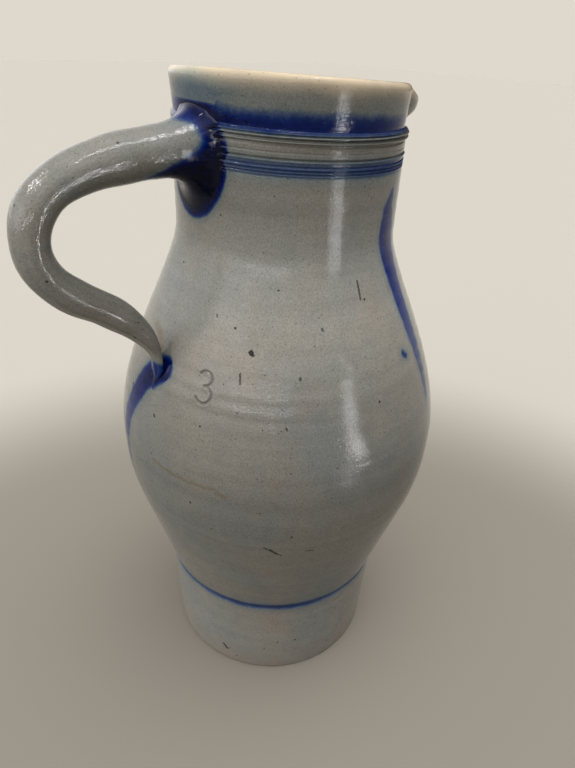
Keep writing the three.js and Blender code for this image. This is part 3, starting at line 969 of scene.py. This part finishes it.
# Tone by height on the pot, partly the glaze's own and partly painted light and shade: lighter on the
# shoulder and the foot, darker over the belly and on the collar; and the tone of the handle
TONE_HEIGHTS = (0, 30, 52, 62, 85, 110, 146, 185, 215, 240, 260, 290)
TONES_WITH_PAINTED_LIGHT = (1.14, 1.12, 1.04, 0.87, 0.88, 0.83, 0.77, 0.92, 1.32, 1.31, 0.93, 0.80)
HANDLE_TONE = 0.97

# Streaks left along the handle by pulling: how many go round, how strong, and where they start. The inner
# side is darker by a share: painted shade, where the underside of the bow stands in shade.
PULL_STREAKS = [(5, 0.045, 0.4), (9, 0.04, 2.1), (14, 0.03, 4.0)]
HANDLE_INNER_PAINTED_SHADE = 0.24

# Marks of the kiln and of use: bearing and height from, bearing and height to, width in mm, and strength
BLACK_TICKS = [
    (-141.6, 208.9, -141.2, 208.4, 1.1, 1.0),
    (-144.6, 200.6, -144.2, 196.8, 0.45, 0.9),
    (-95.4, 233.4, -95.0, 226.6, 0.55, 0.75),
    (-133.6, 119.8, -129.2, 114.8, 0.5, 0.8),
    (-131.6, 118.6, -127.6, 113.2, 0.4, 0.75),
    (-156.8, 13.2, -154.6, 10.2, 0.8, 0.85),
    (-119.4, 116.4, -117.0, 116.0, 0.5, 0.6),
    (-62.0, 61.5, -56.0, 61.0, 0.8, 0.6),
    (-194.4, 175.8, -192.8, 173.2, 0.7, 0.95),
    (-192.8, 173.2, -193.8, 171.6, 0.6, 0.9),
    (-175.9, 172.6, -175.6, 172.2, 0.7, 0.8),
    (-123.7, 200.4, -123.5, 199.9, 0.6, 0.7),
    (-157.8, 219.8, -157.6, 219.4, 0.5, 0.7),
    (-128.0, 181.6, -127.8, 181.1, 0.6, 0.8),
    (-114.7, 217.9, -114.4, 217.4, 0.6, 0.7),
]
BROWN_TICKS = [
    (-174.0, 152.0, -168.6, 150.6, 0.8, 0.5),
    (-167.4, 150.9, -163.8, 150.2, 1.0, 0.55),
    (-162.6, 150.6, -158.4, 150.0, 0.9, 0.4),
    (-157.6, 150.4, -154.0, 150.6, 0.9, 0.5),
    (-153.0, 150.2, -149.4, 150.9, 0.8, 0.45),
    (-148.6, 149.4, -146.2, 148.2, 1.2, 0.5),
]
SCRATCH_BROWN = (0.115, 0.085, 0.045, 1)
SMEAR_TICKS = [
    (-189.9, 206.2, -185.6, 203.8, 2.2, 0.28),
    (-185.6, 203.8, -180.0, 198.9, 2.6, 0.32),
    (-184.0, 202.0, -179.0, 197.0, 1.2, 0.3),
]
SMEAR_BROWN = (0.125, 0.085, 0.042, 1)

# The glaze: how much iron darkens the pressed numeral, what the cobalt adds to the roughness, how rough
# the bare clay of the underside is, and how strongly the glaze bends light
PRESSED_STAIN = 0.35
COBALT_ROUGHNESS = -0.04
BARE_ROUGHNESS = 0.85
GLAZE_IOR = 1.5


def glazed(name, shared, peel_height, gloss_level, marks=()):
    """A fired surface: salt glaze, cobalt by the piece's own attributes, bare clay on the underside, and
    marks, each a list of ticks with their stain."""
    material = bpy.data.materials.new(name)
    material.use_nodes = True
    tree = material.node_tree
    tree.nodes.clear()
    place = node(tree, "ShaderNodeTexCoord").outputs["Object"]

    def painted(key):
        return node(tree, "ShaderNodeAttribute", attribute_name=key).outputs["Fac"]

    inside, bare = painted("inside"), painted("bare")
    body = placed(tree, shared["body"], {
        "Place": place,
        "Height": painted("height"),
        "Inside": inside,
        "Tone": painted("tone"),
    })
    stained = maths(tree, "MULTIPLY", painted("pressed"), PRESSED_STAIN)
    colour = mixed(tree, stained, body["Color"], IRON)
    for ticks, stain in marks:
        for b0, h0, b1, h1, width, strength in ticks:
            ends = [tuple(on_pot(b, np.array(float(h))) * MM) for b, h in ((b0, h0), (b1, h1))]
            inputs = {"Place": place, "From": ends[0], "To": ends[1], "Width": width * MM}
            tick = placed(tree, shared["tick"], inputs)
            colour = mixed(tree, maths(tree, "MULTIPLY", tick["Mask"], strength), colour, stain)
    slip = placed(tree, shared["cobalt"], {
        "Body": colour,
        "Place": place,
        "Depth": painted("cobalt"),
        "Slip": painted("slip"),
    })
    colour = mixed(tree, bare, slip["Color"], BARE_CLAY)
    gloss = maths(tree, "MULTIPLY_ADD", slip["Cover"], COBALT_ROUGHNESS, body["Roughness"])
    rough = maths(tree, "MAXIMUM", gloss, maths(tree, "MULTIPLY", bare, BARE_ROUGHNESS))
    pattern = {"Vector": place, "Scale": 60.0, "Distortion": 4.0}
    wire = node(tree, "ShaderNodeTexWave", pattern, wave_type="RINGS")
    relief = maths(tree, "ADD", body["Relief"], maths(tree, "MULTIPLY", wire.outputs["Fac"], bare))
    bump = node(tree, "ShaderNodeBump", {"Height": relief, "Distance": peel_height * MM, "Strength": 1.0})
    shader = node(tree, "ShaderNodeBsdfPrincipled", {
        "Base Color": colour,
        "Roughness": rough,
        "Normal": bump.outputs[0],
        "IOR": GLAZE_IOR,
        "Specular IOR Level": gloss_level,
    })
    node(tree, "ShaderNodeOutputMaterial", {"Surface": shader.outputs[0]})
    return material


FLOOR_NEAR = (0.190, 0.173, 0.146, 1)
FLOOR_FAR = (0.370, 0.346, 0.305, 1)
FLOOR_SIZE = 12.0
PALE_RING = (0.30, 0.50)
PALE_RING_CENTRE = (-0.10, -0.12, 0.0)


def floor_paper(name):
    """Plain pale paper: a warm grey that lightens gently away from the jug."""
    material = bpy.data.materials.new(name)
    material.use_nodes = True
    tree = material.node_tree
    shader = tree.nodes["Principled BSDF"]
    place = node(tree, "ShaderNodeTexCoord").outputs["Object"]
    far = node(tree, "ShaderNodeVectorMath", {0: place, 1: PALE_RING_CENTRE}, operation="DISTANCE").outputs[1]
    tone = mixed(tree, ramped(tree, far, *PALE_RING), FLOOR_NEAR, FLOOR_FAR)
    tree.links.new(tone, shader.inputs["Base Color"])
    shader.inputs["Roughness"].default_value = 0.6
    shader.inputs["Specular IOR Level"].default_value = 0.0
    return material


def floor():
    """The floor: one square sheet, large enough to meet the pale surround at the horizon."""
    half = FLOOR_SIZE / 2
    mesh = bpy.data.meshes.new("floor")
    corners = [(-half, -half, 0), (half, -half, 0), (half, half, 0), (-half, half, 0)]
    mesh.from_pydata(corners, [], [(0, 1, 2, 3)])
    mesh.materials.append(floor_paper("pale paper"))
    return added("floor", mesh)


def lamp(name, place, aim, size, watts):
    """A rectangular soft lamp at a place, turned to face a point, with its first side level."""
    light = bpy.data.lights.new(name, "AREA")
    light.shape = "RECTANGLE"
    light.size, light.size_y = size
    light.energy = watts
    light.color = LAMP_COLOUR
    facing = (Vector(aim) - Vector(place)).normalized()
    level = Vector((-facing.y, facing.x, 0)) if abs(facing.z) < 0.99 else Vector((1, 0, 0))
    level.normalize()
    lit = added(name, light)
    turned = Matrix((level, facing.cross(-level), -facing)).transposed().to_4x4()
    lit.matrix_world = Matrix.Translation(place) @ turned
    lit.visible_camera = False
    lit.visible_diffuse = False


# Camera of the photograph: its place in mm, and its heading, tilt and roll in degrees
CAMERA_PLACE = (-170.93, -196.64, 316.72)
CAMERA_HEADING = 47.97
CAMERA_TILT = -31.28
CAMERA_ROLL = 2.86
LENS = 27.05
SENSOR = 36


def camera():
    """The photograph's camera: forward along the heading and tilt, then rolled about that line."""
    heading, tilt, roll = np.radians([CAMERA_HEADING, CAMERA_TILT, CAMERA_ROLL])
    forward = np.array([np.cos(heading) * np.cos(tilt), np.sin(heading) * np.cos(tilt), np.sin(tilt)])
    level = np.array([np.sin(heading), -np.cos(heading), 0.0])
    above = np.cross(level, forward)
    right = level * np.cos(roll) + above * np.sin(roll)
    up = above * np.cos(roll) - level * np.sin(roll)
    data = bpy.data.cameras.new("camera")
    data.sensor_width = SENSOR
    data.lens = LENS
    data.clip_start = 0.01
    seen = added("camera", data)
    turned = Matrix((right, up, -forward)).transposed().to_4x4()
    seen.matrix_world = Matrix.Translation(Vector(CAMERA_PLACE) * MM) @ turned
    bpy.context.scene.camera = seen


# Soft light of a pale room: (elevation, bearing, strength) of each broad glow
ROOM_GLOWS = [
    (10, -180, 1.0),
    (10, 135, 2.7),
    (10, 90, 2.1),
    (35, -180, 1.9),
    (62, -135, 1.7),
    (62, -90, 1.1),
    (62, -45, 1.15),
    (62, 0, 1.95),
    (90, 0, 2.1),
]
GLOW_SHARPNESS = 8.0

# Lamps: name, place, the point each faces, its size in metres and its watts. They are seen in the glaze
# only and light nothing else: two pieces of ceiling strip, a tall strip with its image in the floor in
# two parts, a broad side window, and a long thin strip behind the camera.
LAMPS = [
    ("ceiling strip", (0.12, -0.15, 1.3), (0.12, -0.15, 0.0), (0.56, 0.035), 11.0),
    ("ceiling strip left", (-0.82, 0.27, 1.3), (-0.82, 0.27, 0.0), (0.3, 0.06), 9.0),
    ("window strip", (0.25, -1.5, 0.25), (0.0, 0.0, 0.20), (0.04, 0.36), 8.0),
    ("far floor strip", (0.16, -1.05, 0.002), (0.16, -1.05, 1.0), (0.045, 0.9), 16.0),
    ("near floor strip", (0.03, -0.52, 0.002), (0.03, -0.52, 1.0), (0.012, 0.3), 0.5),
    ("side window", (-1.5, 0.06, 0.62), (0.0, 0.0, 0.2), (1.0, 0.7), 10.0),
    ("back strip", (-1.05, -0.76, 0.46), (0.0, 0.0, 0.3), (1.0, 0.03), 8.0),
]
LAMP_COLOUR = (0.98, 0.98, 1.0)
ROOM_SEEN = (0.735, 0.690, 0.610, 1)


def room():
    """Soft light of a pale room: broad glows, each as strong as the cosine of the angle from its middle
    to a power. The camera sees an even pale surround instead. The lamps give the glaze its glints."""
    world = bpy.data.worlds.new("room")
    world.use_nodes = True
    tree = world.node_tree
    surround = tree.nodes["Background"]
    towards = node(tree, "ShaderNodeTexCoord").outputs["Generated"]
    light = 0.0
    for elevation, bearing, strength in ROOM_GLOWS:
        rise, turn = np.radians([elevation, bearing])
        middle = (np.cos(rise) * np.cos(turn), np.cos(rise) * np.sin(turn), np.sin(rise))
        near = node(tree, "ShaderNodeVectorMath", {0: towards, 1: middle}, operation="DOT_PRODUCT").outputs[1]
        glow = maths(tree, "POWER", maths(tree, "MAXIMUM", near, 0.0), GLOW_SHARPNESS)
        light = maths(tree, "MULTIPLY_ADD", glow, strength, light)
    seen = node(tree, "ShaderNodeLightPath").outputs["Is Camera Ray"]
    tree.links.new(mixed(tree, seen, light, ROOM_SEEN), surround.inputs["Color"])
    bpy.context.scene.world = world
    for name, place, aim, size, watts in LAMPS:
        lamp(name, place, aim, size, watts)


SHARED = {"tick": tick_group(), "cobalt": cobalt_group(), "body": body_group(fleck_group())}
LUTING_MARKS = [(SMEAR_TICKS, SMEAR_BROWN)]
VESSEL_MARKS = [(BLACK_TICKS, IRON), (BROWN_TICKS, SCRATCH_BROWN), *LUTING_MARKS]
VESSEL_GLAZE = glazed("vessel glaze", SHARED, peel_height=0.085, gloss_level=0.08, marks=VESSEL_MARKS)
HANDLE_GLAZE = glazed("handle glaze", SHARED, peel_height=0.12, gloss_level=0.12)
LUTING_GLAZE = glazed("luting glaze", SHARED, peel_height=0.07, gloss_level=0.09, marks=LUTING_MARKS)

PIECES = [
    (vessel(VESSEL_GLAZE), "jug_body", "salt_glaze"),
    (pulled_handle(HANDLE_GLAZE), "handle", "salt_glaze"),
    (root_flare(LUTING_GLAZE), "upper_luting", "cobalt_glaze"),
    (tail_leaf(LUTING_GLAZE), "lower_luting", "cobalt_glaze"),
]
for piece, packed, finish in PIECES:
    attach(piece, "root")
    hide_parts(packed)

floor()
room()
camera()
bpy.context.scene.view_settings.view_transform = "Standard"
